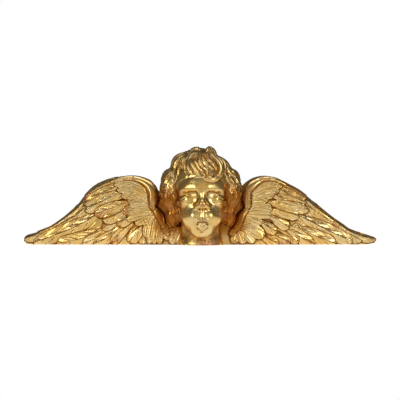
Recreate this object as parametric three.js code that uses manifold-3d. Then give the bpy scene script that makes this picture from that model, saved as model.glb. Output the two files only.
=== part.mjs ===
// A winged cherub head for the top of a frame, cabinet or doorway, carved from one block and gilded.
// A child's head with combed, curling hair stands between two spread wings. The back and the underside
// are cut flat. Millimetres, +Z up, -Y to the viewer. The origin is under the middle, on the underside.
import * as THREE from "three";
import Module from "manifold-3d";

// Driving sizes, in millimetres.
const span = 600; // wing tip to wing tip
const wingRise = 117; // underside to the highest point of a wing
const wingDepth = 27; // back to the face of the wing board at its root
const tipDepth = 7; // the same at the wing tips
const tipLift = 5; // how far the lower edge curls up at the very tip
const featherStep = 2.8; // how far each row of feathers stands above the row that it covers
const featherCrown = 1.7; // height of a feather's shaft above its edges
const rollRadius = 9.5; // the smooth roll that edges a wing, from its middle to its front
const rollDepth = 25; // back to the middle of that roll beside the neck
const headHeight = 138; // under the chin to the top of the combed hair
const chinRise = 15.5; // underside to under the chin
const headStandOff = 46; // back to the middle of the head
const headSide = 2; // how far the head stands to the viewer's right of the middle
const headTurn = 3; // degrees that the face turns to the viewer's right
const neckWidth = 84; // across the neck at the underside
const lockHeight = 5; // height of a lock of hair above the combed hair under it

const headRise = chinRise + 0.495 * headHeight; // underside to the middle of the head
const point = headHeight / 100; // the head is drawn in hundredths of its own height
const lockCrown = lockHeight / point;
const hairRadius = 38; // middle of the head to the combed hair, near enough, in those hundredths
const trim = 4 * span; // side of the blocks that cut the back and the underside flat

const wasm = await Module();
wasm.setup();

// Small helpers.
const mix = (a, b, t) => a + (b - a) * t;
const mixPoints = (a, b, t) => a.map((v, i) => mix(v, b[i], t));
const clamp = (v, low = 0, high = 1) => Math.min(high, Math.max(low, v));
const ease = (t) => t * t * (3 - 2 * t);

// The point at t on a Bezier curve of any number of control points.
function bezier(controls, t) {
  if (controls.length === 1) return controls[0];
  const shorter = controls.slice(1).map((c, i) => mixPoints(controls[i], c, t));
  return bezier(shorter, t);
}

// A closed body from rings of points. Each ring is joined to the next, and the end rings are closed.
function skin(rings) {
  const around = rings[0].length;
  const corners = rings.flat();
  const faces = [];
  for (let i = 0; i + 1 < rings.length; i++)
    for (let j = 0; j < around; j++) {
      const a = i * around + j;
      const b = i * around + ((j + 1) % around);
      faces.push([a, b, b + around], [a, b + around, a + around]);
    }
  const last = (rings.length - 1) * around;
  for (let j = 1; j + 1 < around; j++) {
    faces.push([0, j + 1, j], [last, last + j, last + j + 1]);
  }
  let volume = 0;
  for (const [a, b, c] of faces) {
    const [p, q, r] = [corners[a], corners[b], corners[c]];
    volume += p[0] * (q[1] * r[2] - q[2] * r[1]);
    volume += p[1] * (q[2] * r[0] - q[0] * r[2]);
    volume += p[2] * (q[0] * r[1] - q[1] * r[0]);
  }
  const outward = volume < 0 ? faces.map(([a, b, c]) => [a, c, b]) : faces;
  const mesh = new wasm.Mesh({
    numProp: 3,
    vertProperties: new Float32Array(corners.flat()),
    triVerts: new Uint32Array(outward.flat()),
  });
  return new wasm.Manifold(mesh);
}

// A block from its lowest to its highest corner.
function block(low, high) {
  const ring = (z) => [
    [low[0], low[1], z],
    [high[0], low[1], z],
    [high[0], high[1], z],
    [low[0], high[1], z],
  ];
  return skin([ring(low[2]), ring(high[2])]);
}

const join = (bodies) => bodies.reduce((all, body) => all.add(body));

// The wings are drawn 300 long from the middle of the block and 117 high, and scaled to the sizes above.
// A point is [out, up]. Each wing has its upper edge, its smooth roll with a radius at each point, and
// rows of leaves from the lowest to the highest. A leaf is [root, middle, tip, width].
const drawnReach = 300;
const drawnRise = 117;
const leftWing = {
  side: -1,
  edge: [
    [0, 72], [60, 86], [77, 101], [85, 109], [98, 115], [116, 117], [133, 115], [150, 111.5], [170, 104],
    [184, 94.5], [197, 81], [205, 71], [216, 59], [233, 44.5], [253, 31], [274, 22.5], [293, 15], [299, 8.5],
  ],
  roll: [
    [54, 22, 4], [59, 38, 6], [66, 54, 8], [74, 67, 8.5], [77, 80, 8.5], [79, 90, 8.5], [86, 102, 7.5],
    [100, 110, 5.5], [116, 113, 4.5], [133, 111.5, 3.5], [149, 106, 2.5],
  ],
  rows: [
    [ // long feathers
      [[191, 73], [235, 38], [295, 11], 11],
      [[187, 61], [228, 32], [298, 7], 12],
      [[174, 51], [216, 30], [280, 3], 13],
      [[166, 44], [204, 21], [253, 2], 14],
      [[152, 42], [187, 19], [233, 2], 15],
      [[141, 34], [170, 15], [206, 1], 14],
      [[129, 32], [154, 13], [179, 1], 13],
      [[89, 34], [95, 17], [95, 2], 15],
      [[93, 36], [108, 19], [116, 3], 17],
      [[137, 38], [152, 33], [165, 28], 13],
      [[116, 34], [133, 17], [148, 1], 12],
    ],
    [ // short feathers
      [[129, 107], [162, 99], [191, 77], 13],
      [[129, 100], [162, 87], [194, 69], 13],
      [[122, 88], [158, 76], [193, 57], 16],
      [[108, 51], [125, 42], [139, 35], 15],
      [[116, 61], [139, 51], [163, 41], 16],
      [[116, 73], [147, 62], [177, 51], 15],
    ],
    [ // lobes below the roll
      [[90, 94], [116, 108], [145, 107], 11],
      [[88, 86], [116, 103], [144, 101], 12],
      [[88, 80], [116, 93], [139, 92], 12],
      [[87, 74], [112, 84], [132, 82], 12],
      [[86, 70], [106, 76], [121, 72], 12],
      [[80, 44], [87, 38], [95, 33], 11],
      [[81, 49], [93, 44], [108, 35], 12],
      [[82, 55], [100, 53], [122, 42], 13],
      [[83, 61], [104, 63], [128, 53], 14],
      [[84, 67], [102, 69], [118, 68], 12],
      [[74, 55], [86, 36], [90, 13], 11],
      [[72, 55], [80, 32], [85, 2], 11],
      [[69, 54], [74, 30], [77, 2], 11],
      [[67, 53], [67, 30], [68, 2], 11],
      [[65, 51], [62, 32], [62, 11], 10],
    ],
    [ // shell beside the neck
      [[39, 29], [52, 30], [64, 23], 12],
      [[37, 28], [48, 21], [59, 10], 12],
      [[35, 28], [41, 17], [48, 2], 12],
      [[32, 27], [34, 15], [36, 2], 12],
    ],
  ],
};
const rightWing = {
  side: 1,
  edge: [
    [0, 72], [60, 88], [71, 99], [81, 108], [94, 114], [110, 116.5], [125, 113.5], [137, 109], [150, 102],
    [166, 93.5], [180, 84], [194, 72.5], [209, 59.5], [223, 48], [241, 35.5], [256, 25.5], [276, 18.5], [299, 11],
  ],
  roll: [
    [54, 19, 5], [62, 29, 6.5], [69, 39, 7.5], [73, 53, 8], [77, 67, 8], [79, 80, 7.5], [81, 92, 7.5],
    [89, 102, 7.5], [100, 109, 6], [112, 112, 4.5], [129, 110, 3.5], [145, 101, 2.5],
  ],
  rows: [
    [ // long feathers
      [[166, 86], [206, 59], [243, 33], 12],
      [[173, 73], [220, 43], [272, 16], 12],
      [[177, 65], [229, 34], [299, 10], 12],
      [[175, 55], [218, 26], [270, 4], 12],
      [[175, 49], [204, 24], [241, 3], 12],
      [[160, 44], [183, 24], [205, 3], 14],
      [[150, 36], [166, 19], [184, 2], 14],
      [[133, 28], [150, 17], [164, 4], 13],
      [[108, 24], [129, 13], [153, 3], 14],
      [[104, 15], [116, 9], [133, 2], 13],
      [[164, 53], [198, 31], [230, 8], 16],
    ],
    [ // short feathers
      [[125, 107], [154, 94], [179, 75], 12],
      [[125, 98], [150, 84], [177, 71], 13],
      [[123, 86], [150, 73], [176, 65], 14],
      [[104, 38], [116, 29], [130, 22], 15],
      [[119, 49], [135, 39], [150, 28], 16],
      [[119, 57], [143, 54], [167, 47], 16],
      [[116, 71], [150, 65], [184, 58], 15],
    ],
    [ // lobes below the roll
      [[89, 94], [110, 106], [135, 105], 11],
      [[88, 88], [112, 100], [139, 99], 12],
      [[89, 82], [112, 92], [134, 91], 12],
      [[90, 77], [110, 84], [125, 83], 12],
      [[91, 72], [104, 77], [115, 75], 11],
      [[71, 36], [81, 32], [91, 29], 12],
      [[72, 44], [89, 42], [105, 38], 13],
      [[75, 51], [98, 53], [119, 48], 13],
      [[79, 55], [100, 64], [121, 58], 14],
      [[83, 61], [96, 70], [111, 71], 12],
      [[60, 25], [59, 13], [60, 3], 12],
      [[64, 28], [70, 15], [75, 3], 12],
      [[69, 30], [80, 20], [91, 4], 14],
      [[73, 32], [90, 27], [106, 12], 17],
    ],
  ],
};

const outward = (out) => (out / drawnReach) * (span / 2);
const upward = (up) => (up / drawnRise) * wingRise;

// The height of the wing's upper edge at a distance out.
function upperEdge(wing, out) {
  const next = wing.edge.findIndex(([there]) => there > out);
  if (next < 1) return wing.edge.at(next)[1];
  const [[a, low], [b, high]] = wing.edge.slice(next - 1, next + 1);
  return mix(low, high, (out - a) / (b - a));
}

// Back to the face of the wing board, which thins towards the tip and rounds over at its upper edge.
function boardDepth(wing, [out, up]) {
  const depth = mix(wingDepth, tipDepth, clamp((out - 60) / (drawnReach - 60)) ** 0.75);
  const share = clamp(up / Math.max(upperEdge(wing, out), 4));
  return depth * (1 - 0.3 * share ** 4) * (0.93 + 0.07 * Math.sin(Math.PI * share));
}

// A wing point in the block's own frame, from its place and its height above the back.
const onWing = (wing, [out, up], depth) => [wing.side * outward(out), -depth, upward(up)];

// The board that the feathers are cut from: a strip between the upper edge and the underside.
function wingBoard(wing) {
  const rings = [];
  for (const out of [-4, ...wing.edge.slice(1, -1).map(([there]) => there), drawnReach - 2]) {
    const top = upperEdge(wing, out);
    const low = tipLift * clamp((out / drawnReach - 0.9) / 0.1) ** 3;
    const ring = [onWing(wing, [out, low], 0)];
    for (const share of [0, 0.5, 0.85, 1]) {
      const place = [out, mix(low, top, share)];
      ring.push(onWing(wing, place, boardDepth(wing, place) * (share === 1 ? 0.6 : 0.9)));
    }
    ring.push(onWing(wing, [out, top], 0));
    rings.push(ring);
  }
  return skin(rings);
}

// A leaf's half width along its length, as a share of its widest: narrow root, full middle, round tip.
function leafShare(t) {
  const swell = mix(0.55, 1, ease(clamp(t / 0.55)));
  return swell * Math.sqrt(Math.max(0, 1 - clamp((t - 0.72) / 0.28) ** 2.4)) + 0.12;
}

// One leaf: a raised shaft and lower edges, sunk at its root and lifted at its tip.
function leaf(wing, [root, middle, tip, width], level) {
  const line = [root, middle.map((v, i) => 2 * v - (root[i] + tip[i]) / 2), tip];
  const floor = level < 2 ? 0 : tipDepth / 3;
  const rings = [];
  for (const t of level < 2 ? [0, 0.35, 0.65, 0.86, 0.965, 1] : [0, 0.4, 0.74, 0.94, 1]) {
    const here = bezier(line, t);
    const [ahead, behind] = [bezier(line, t + 0.01), bezier(line, t - 0.01)];
    const way = [ahead[0] - behind[0], ahead[1] - behind[1]];
    const half = (0.56 * width * leafShare(t)) / Math.hypot(...way);
    const place = (s) => [here[0] - way[1] * half * s, here[1] + way[0] * half * s];
    const face = (s) => {
      const rise = featherStep * (level + 0.55 * t - 0.35 - 0.2 * s) + featherCrown * (1 - s * s);
      return boardDepth(wing, place(s)) + rise;
    };
    rings.push([
      onWing(wing, place(-1), floor),
      onWing(wing, place(-1), face(-1)),
      onWing(wing, place(0), face(0)),
      onWing(wing, place(1), face(1)),
      onWing(wing, place(1), floor),
    ]);
  }
  return skin(rings);
}

// The smooth roll that rises beside the neck and turns over into the wing's upper edge.
function wingRoll(wing) {
  const points = wing.roll.map(([out, up, radius]) => new THREE.Vector3(out, up, radius));
  const curve = new THREE.CatmullRomCurve3(points);
  const stations = 18;
  const sides = 8;
  const rings = [];
  for (let i = 0; i <= stations; i++) {
    const t = i / stations;
    const here = curve.getPoint(t);
    const way = curve.getTangent(t).setZ(0).normalize();
    const lift = rollDepth * mix(1, 0.55, ease(clamp((t - 0.35) / 0.65)));
    const ring = [];
    for (let j = 0; j < sides; j++) {
      const angle = (2 * Math.PI * j) / sides;
      const across = here.z * Math.cos(angle);
      const place = [here.x - way.y * across, here.y + way.x * across];
      ring.push(onWing(wing, place, lift + (rollRadius / 8.5) * here.z * Math.sin(angle)));
    }
    rings.push(ring);
  }
  return skin(rings);
}

function wingBody(wing) {
  const leaves = wing.rows.flatMap((row, level) =>
    row.map((one, i) => leaf(wing, one, Math.min(level, 2.3) + 0.12 * (i % 2))),
  );
  return join([wingBoard(wing), ...leaves, wingRoll(wing)]);
}

// The head. Its own frame is [across, forward, up] from its middle, in hundredths of its height. Its form
// is a field that is negative inside, made of rounded masses that melt into each other.
function ellipsoid(p, middle, radii) {
  const q = p.map((v, i) => (v - middle[i]) / radii[i]);
  const near = Math.hypot(...q);
  const slope = Math.hypot(...q.map((v, i) => v / radii[i]));
  return slope > 1e-9 ? (near * (near - 1)) / slope : -Math.min(...radii);
}
const ball = (p, middle, radius) => Math.hypot(...p.map((v, i) => v - middle[i])) - radius;
function stroke(p, from, to, radius, endRadius) {
  const along = to.map((v, i) => v - from[i]);
  const length2 = along.reduce((sum, v) => sum + v * v, 0);
  const share = clamp(along.reduce((sum, v, i) => sum + v * (p[i] - from[i]), 0) / length2);
  return ball(p, mixPoints(from, to, share), mix(radius, endRadius, share));
}
function melt(a, b, width) {
  const share = clamp(0.5 + (0.5 * (b - a)) / width);
  return mix(b, a, share) - width * share * (1 - share);
}
const cut = (a, tool, width) => -melt(-a, tool, width);

function faceField([across, forward, up]) {
  const p = [Math.abs(across), forward, up]; // the two halves of the face match
  let d = ellipsoid(p, [0, -3, 13], [31, 36, 33]);
  d = melt(d, ellipsoid(p, [0, 7, 14], [28, 29.5, 21]), 6);
  d = melt(d, ellipsoid(p, [0, 5, -16], [25, 28, 31]), 8);
  d = melt(d, ball(p, [13, 18.5, -21], 13.6), 5);
  d = melt(d, ball(p, [0, 24, -29], 9.5), 5);
  d = melt(d, ellipsoid(p, [0, 13.5, -42], [18, 17, 9]), 3);
  d = melt(d, ball(p, [0, 23.5, -44], 6.3), 3);
  d = cut(d, ellipsoid(p, [13, 36, -4], [8.5, 5.5, 5.5]), 5);
  d = melt(d, ellipsoid(p, [13, 24.5, -6.2], [8.8, 8, 6]), 1);
  d = melt(d, stroke(p, [0, 31.5, 3], [0, 37, -11.5], 2.6, 4.1), 4);
  d = melt(d, ball(p, [5, 33, -14.2], 3.1), 2);
  d = melt(d, ellipsoid(p, [2.6, 32, -29.2], [4.6, 3.6, 2.6]), 1);
  d = melt(d, ellipsoid(p, [0, 30.5, -37], [5.4, 4.2, 4.2]), 1);
  d = cut(d, ellipsoid(p, [0, 37, -32], [6.5, 4.6, 0.9]), 0.8);
  return d;
}

function neckField([across, forward, up]) {
  const half = neckWidth / 2 / point;
  const widen = 1 + 0.1 * ease(clamp((-48 - up) / 13));
  const radius = Math.hypot(across / half, (forward + 8) / (half * 1.05)) / widen;
  const base = headRise / point + 4;
  return Math.max((radius - 0.85) * half, -up - base, up + 30);
}

function hairField([across, forward, up]) {
  const p = [Math.abs(across), forward, up];
  let d = ellipsoid(p, [0, -3, 12.5], [36, 38, 40]);
  d = melt(d, ball(p, [19, -2, 29], 15), 6);
  d = melt(d, ball([across, forward, up], [-25, -2, 34], 13), 5);        // fuller on the left of the crown
  d = melt(d, ellipsoid(p, [35, -3, 6], [12.8, 18, 25]), 4);
  d = melt(d, ellipsoid(p, [31, 3, -21], [9.5, 14, 17]), 4);
  const window = Math.hypot(across / 26.5, (up + 13) / 34) - 1;
  return Math.max(d, -Math.max(window * 26.5, 5 - forward));
}

const headField = (p) => melt(Math.min(hairField(p), faceField(p)), neckField(p), 2.5);

// From the head's own frame to the block's.
function onHead([across, forward, up]) {
  const turn = (headTurn * Math.PI) / 180;
  return [
    headSide + point * (across * Math.cos(turn) + forward * Math.sin(turn)),
    -(headStandOff + point * (forward * Math.cos(turn) - across * Math.sin(turn))),
    headRise + point * up,
  ];
}

// The direction from the head's middle at a bearing to the viewer's right and a height, in degrees.
function direction(bearing, height) {
  const [b, h] = [(bearing * Math.PI) / 180, (height * Math.PI) / 180];
  return [Math.sin(b) * Math.cos(h), Math.cos(b) * Math.cos(h), Math.sin(h)];
}

// Where the outside of the head lies in a direction, found by stepping inwards.
function surface(field, way) {
  let far = 100;
  for (let step = 0; step < 80; step++) {
    const gap = field(way.map((v) => v * far));
    if (gap < 0.02) break;
    far -= gap * 0.7;
  }
  return far;
}

// The locks of hair, each a path of [bearing, height] with a width and a crown in hundredths of the head's
// height. The forelock is combed forward over the brow, two tufts stand up at the crown, and the sides
// hang in three rows of waving locks.
function hairLocks() {
  const locks = [];
  const add = (path, width, crown) => {
    const points = [];
    for (let i = 0; i <= 10; i++) {
      const [bearing, height] = bezier(path, i / 10);
      points.push(direction(bearing, height).map((v) => v * hairRadius));
    }
    locks.push({ points, width, crown });
  };
  for (let i = 0; i < 5; i++) {
    const start = mix(-74, 6, i / 4);
    const end = mix(-38, 0, i / 4);
    add([[start, 70], [start, 50], [end - 10, 42], [end + 8, mix(31, 27, i / 4)]], 10.5, lockCrown);
  }
  add([[58, 62], [44, 46], [28, 32], [4, 27]], 10, lockCrown * 1.2);
  add([[40, 60], [24, 50], [16, 44], [12, 36]], 9, lockCrown);
  add([[-150, 66], [-40, 80], [-20, 74]], 15, lockCrown * 3);
  add([[150, 66], [52, 76], [60, 68]], 14, lockCrown * 3);
  for (const side of [-1, 1])
    for (let row = 0; row < 3; row++)
      for (let i = 0; i < 4; i++) {
        const bearing = side * (mix(52, 118, i / 3) + 8 * (row % 2));
        const top = [50, 24, -3][row];
        const sway = side * (i % 2 ? 9 : -9);
        add([[bearing * 0.94, top], [bearing + sway, top - 12], [bearing - sway, top - 28]], 13, lockCrown);
      }
  return locks;
}

// How far the locks raise the hair in a direction. Each lock is a ridge with steep sides.
function lockRise(locks, way) {
  const here = way.map((v) => v * hairRadius);
  let rise = 0;
  for (const { points, width, crown } of locks) {
    const last = points.length - 1;
    for (let i = 0; i < last; i++) {
      const along = points[i + 1].map((v, k) => v - points[i][k]);
      const length2 = along.reduce((sum, v) => sum + v * v, 0);
      const share = clamp(along.reduce((sum, v, k) => sum + v * (here[k] - points[i][k]), 0) / length2);
      const gap = Math.hypot(...here.map((v, k) => v - points[i][k] - share * along[k]));
      const t = (i + share) / last;
      const half = (width / 2) * Math.sin(Math.PI * mix(0.12, 0.93, t)) ** 0.6;
      const s = Math.min(1, gap / half);
      rise = Math.max(rise, crown * (0.4 + 0.6 * Math.sin(Math.PI * t)) * Math.sqrt(1 - s * s));
    }
  }
  return rise;
}

// Steps across the head: close together over the face, wide apart at the back.
const bearings = [];
for (let b = -36; b <= 36; b += 4) bearings.push(b);
for (let b = 42; b <= 120; b += 6) bearings.push(b);
bearings.push(132, 150, 180, 210, 228);
for (let b = 240; b <= 318; b += 6) bearings.push(b);
const heights = [-86, -72, -64, -58];
for (let h = -53; h <= 30; h += 3.5) heights.push(h);
heights.push(37, 43, 49, 56, 64, 73, 83);

function headBody() {
  const locks = hairLocks();
  const rings = heights.map((height) =>
    bearings.map((bearing) => {
      const way = direction(bearing, height);
      const far = surface(headField, way);
      const inHair = clamp(1.5 - hairField(way.map((v) => v * far)) / 2);
      const hair = Math.max(inHair, clamp((height - 20) / 5));
      return onHead(way.map((v) => v * (far + hair * lockRise(locks, way))));
    }),
  );
  return skin(rings);
}

// The whole block, cut flat behind and below.
function cherub() {
  const rough = join([
    wingBody(rightWing),
    wingBody(leftWing),
    headBody(),
  ]);
  const behind = block([-trim, 0, -trim], [trim, trim, trim]);
  const below = block([-trim, -trim, -trim], [trim, trim, 0]);
  const whole = rough.subtract(behind).subtract(below);
  return whole.decompose().sort((a, b) => b.volume() - a.volume())[0];
}

function geometryOf(body) {
  const { numProp, vertProperties, triVerts } = body.getMesh();
  const positions = [];
  for (let i = 0; i < vertProperties.length; i += numProp) {
    positions.push(...vertProperties.subarray(i, i + 3));
  }
  const geometry = new THREE.BufferGeometry();
  geometry.setAttribute("position", new THREE.Float32BufferAttribute(positions, 3));
  geometry.setIndex([...triVerts]);
  geometry.computeBoundingBox();
  return geometry;
}

const gilding = new THREE.MeshStandardMaterial({ color: 0xd2a24c, metalness: 1, roughness: 0.3 });

const geometry = geometryOf(cherub());
const middle = geometry.boundingBox.getCenter(new THREE.Vector3());
geometry.translate(-middle.x, -middle.y, 0);
const carving = new THREE.Mesh(geometry, gilding);
carving.name = "winged_cherub_head";

const group = new THREE.Group();
group.add(carving);
export default group;
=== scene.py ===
import math
import bpy
import numpy as np
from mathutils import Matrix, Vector


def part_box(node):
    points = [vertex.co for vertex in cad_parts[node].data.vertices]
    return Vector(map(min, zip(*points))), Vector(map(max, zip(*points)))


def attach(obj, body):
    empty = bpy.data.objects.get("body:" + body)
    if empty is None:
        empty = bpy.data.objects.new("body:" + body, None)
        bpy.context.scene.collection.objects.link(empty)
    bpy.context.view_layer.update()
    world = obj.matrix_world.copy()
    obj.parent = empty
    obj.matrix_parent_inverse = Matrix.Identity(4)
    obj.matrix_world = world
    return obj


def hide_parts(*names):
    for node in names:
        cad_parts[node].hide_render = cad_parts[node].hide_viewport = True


# Winged cherub head, carved and gilded. Forms are worked out in millimetres in the block's own frame
# (x to the viewer's right, depth forward from the flat back, z up) and placed in metres at the end.
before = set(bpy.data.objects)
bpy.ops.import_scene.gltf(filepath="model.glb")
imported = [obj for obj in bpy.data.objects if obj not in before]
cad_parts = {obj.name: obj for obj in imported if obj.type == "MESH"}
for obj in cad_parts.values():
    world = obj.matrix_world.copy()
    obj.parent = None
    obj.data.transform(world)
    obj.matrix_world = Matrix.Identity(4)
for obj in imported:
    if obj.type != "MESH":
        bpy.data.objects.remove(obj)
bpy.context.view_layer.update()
nodeName = "winged_cherub_head"
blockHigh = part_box(nodeName)[1]

block = {
    "shiftX": -0.5,            # the solid is centred on its box, and the wings differ by a millimetre
    "backY": blockHigh[1] * 1000,
}


# small helpers

def mix(a, b, t):
    return a + (b - a) * t


def clamp(v, low=0.0, high=1.0):
    return np.clip(v, low, high)


def ease(t):
    t = clamp(t)
    return t * t * (3 - 2 * t)


def fadeIn(value, edge):
    # 0 up to edge[0], then 1 after another edge[1]
    return ease((value - edge[0]) / edge[1])


def fadeOut(value, edge):
    # 1, falling to 0 over the last edge[1] before edge[0]
    return ease((edge[0] - value) / edge[1])


def bezierPath(controls, count):
    t = np.linspace(0, 1, count)[:, None]
    points = [np.asarray(c, float)[None, :] + 0 * t for c in controls]
    while len(points) > 1:
        points = [mix(a, b, t) for a, b in zip(points, points[1:])]
    return points[0]


def splinePath(points, count):
    # a smooth curve through every point
    p = np.asarray(points, float)
    p = np.vstack([2 * p[0] - p[1], p, 2 * p[-1] - p[-2]])
    spans = len(p) - 3
    where = np.linspace(0, spans, count)
    i = np.minimum(where.astype(int), spans - 1)
    t = (where - i)[:, None]
    a, b, c, d = p[i], p[i + 1], p[i + 2], p[i + 3]
    return 0.5 * (2 * b + (c - a) * t + (2 * a - 5 * b + 4 * c - d) * t ** 2
                  + (3 * b - a - 3 * c + d) * t ** 3)


def nearestOnPath(points, path):
    # for each point: how far along the path it is, 0 to 1, and the gap to the path as a vector
    best = np.full(len(points), 1e9)
    along = np.zeros(len(points))
    gap = np.zeros_like(points)
    for k in range(len(path) - 1):
        step = path[k + 1] - path[k]
        share = clamp((points - path[k]) @ step / max(step @ step, 1e-12))
        off = points - path[k] - share[:, None] * step
        dist = np.einsum("ij,ij->i", off, off)
        closer = dist < best
        best[closer] = dist[closer]
        along[closer] = (k + share[closer]) / (len(path) - 1)
        gap[closer] = off[closer]
    return along, gap


def blurGrid(values, sigma):
    # a soft blur of a grid, sigma in cells; the edges are reflected
    pad = int(3 * sigma) + 1
    wide = np.pad(values, pad, mode="reflect")
    fx = np.fft.fftfreq(wide.shape[0])[:, None]
    fy = np.fft.rfftfreq(wide.shape[1])[None, :]
    soft = np.exp(-2 * (math.pi * sigma) ** 2 * (fx ** 2 + fy ** 2))
    wide = np.fft.irfft2(np.fft.rfft2(wide) * soft, s=wide.shape)
    return wide[pad:-pad, pad:-pad]


def handWave(shape, sigma, seed):
    # slow unevenness left by the chisel, about -1 to 1
    noise = np.random.default_rng(seed).standard_normal(shape)
    soft = blurGrid(noise, sigma)
    return soft / (2 * soft.std())


def toRow(x, depth, z):
    return np.column_stack([x + block["shiftX"], block["backY"] - depth, z]) / 1000


# the wings

wing = {
    "rootDepth": 27.0,
    "tipDepth": 7.0,
    "step": 2.8,               # height of one row of feathers over the next
    "crown": 2.5,              # height of a shaft over the edges
    "rollFront": 7.5,
    "rollDepth": 26.5,
    "rollPeak": 0.4,           # how far the top of the roll lies off its middle, away from the head
    "cell": 0.5,
    "edgeRound": 1.5,          # rounded edge of a leaf
    "outline": 1.5,            # depth of the cut around a leaf
    "overEdge": 1.2,           # how far a leaf may stand past the drawn edge
    "groundShare": 0.9,        # the ground between the leaves, as a share of the board's depth
    "boardRound": 8.0,         # rounding of the board towards its upper edge
    "unevenness": 0.2,
    "neckShade": 0.4,               # painted shade: darker gold low beside the neck, between the wing and the neck
    "neckShadeOut": (96, 24),
    "neckShadeUp": (46, 14),
    "paintedShadeOut": (84, 16),      # painted shade and painted gold-on-gold reflection, deep orange, in the narrow gap beside the head
    "paintedShadeLow": (8, 20),
    "paintedShadeHigh": (112, 20),
    "paintedShadeRoll": 0.55,
    "paintedShadeRollOut": (112, 40),
}

# tool marks of the three kinds of leaf; a spread counts by each leaf's own random number
cuts = {
    "lobe": {"strands": 1.0, "waver": 0.35, "depth": 1.1},
    "quill": {
        "reach": 2.5, "reachSpread": 0.5, "period": 28, "periodSpread": 7, "stagger": 0.4,
        "depth": 2.4, "shaft": 0.5, "shaftLine": 1.7, "tuftsFrom": 1.4,
    },
    "short": {
        "reach": 2.9, "reachSpread": 0, "period": 22, "periodSpread": 7, "stagger": 0.45,
        "depth": 1.9, "shaft": 0.4, "shaftLine": 1.6, "tuftsFrom": 1.2,
    },
}

# Each leaf is root, middle, tip and width, in millimetres out from the middle of the carving and up, and a
# fifth number where its tip is worn to the clay. A roll and the tip are places with a radius.
leftWing = {
    "name": "left_wing",
    "side": -1,
    "seed": 5,
    "edge": [
        (0, 72), (60, 86), (77, 101), (85, 109), (98, 115), (116, 117.5), (133, 115.5), (150, 112),
        (170, 104.5), (184, 95), (197, 81.5), (205, 71), (216, 59), (233, 44.5), (253, 31), (274, 22.5),
        (293, 15), (299, 8.5),
    ],
    "tip": [(276, 10, 11), (291, 8.8, 8.2)],
    "rolls": [
        [(54, 20, 4), (59, 33, 6), (65, 46, 7), (72, 56, 6.5), (78, 61, 4)],
        [(79, 66, 6.5), (78, 76, 8.5), (79, 90, 8.5), (86, 102, 7.5), (100, 110, 5.5), (116, 113, 4.5),
         (133, 111.5, 3.5), (149, 107, 2.5)],
    ],
    "rows": [
        ("quill", [
            ((186, 83), (226, 46), (272, 21), 12),
            ((190, 65), (232, 36), (298, 9), 20),
            ((175, 50), (214, 28), (281, 2.5), 20),
            ((158, 28), (200, 10), (242, 1), 20),
            ((141, 36), (165, 16), (198, 1), 18),
            ((127, 34), (152, 14), (178, 1), 15),
            ((89, 34), (95, 17), (95, 2), 15),
            ((93, 36), (108, 19), (116, 3), 17),
            ((137, 38), (152, 33), (165, 28), 13, 0.7),
            ((116, 36), (133, 19), (148, 2), 13, 1),
        ]),
        ("short", [
            ((127, 110), (163, 101.5), (194, 78), 15),
            ((129, 101), (162, 88), (195, 68), 15),
            ((122, 88), (158, 76), (193, 57), 18),
            ((108, 51), (125, 42), (139, 35), 16),
            ((116, 61), (139, 51), (163, 41), 18),
            ((116, 73), (147, 62), (177, 51), 17, 1),
        ]),
        ("lobe", [
            ((90, 94), (116, 108), (145, 107), 11),
            ((88, 86), (116, 103), (144, 101), 12),
            ((88, 80), (116, 93), (139, 92), 12),
            ((87, 74), (112, 84), (132, 82), 12),
            ((86, 70), (106, 76), (121, 72), 12),
            ((80, 44), (87, 38), (95, 33), 11),
            ((81, 49), (93, 44), (108, 35), 12),
            ((82, 55), (100, 53), (122, 42), 13),
            ((83, 61), (104, 63), (128, 53), 14, 0.9),
            ((84, 67), (102, 69), (118, 68), 12),
            ((74, 55), (86, 36), (90, 13), 11),
            ((72, 55), (80, 32), (85, 2), 11),
            ((69, 54), (74, 30), (77, 2), 11),
            ((67, 53), (67, 30), (68, 2), 11),
            ((65, 51), (62, 32), (62, 11), 10),
        ]),
        ("lobe", [
            ((39, 29), (52, 30), (64, 23), 12),
            ((37, 28), (48, 21), (59, 10), 12),
            ((35, 28), (41, 17), (48, 2), 12),
            ((32, 27), (34, 15), (36, 2), 12),
        ]),
    ],
}
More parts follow.
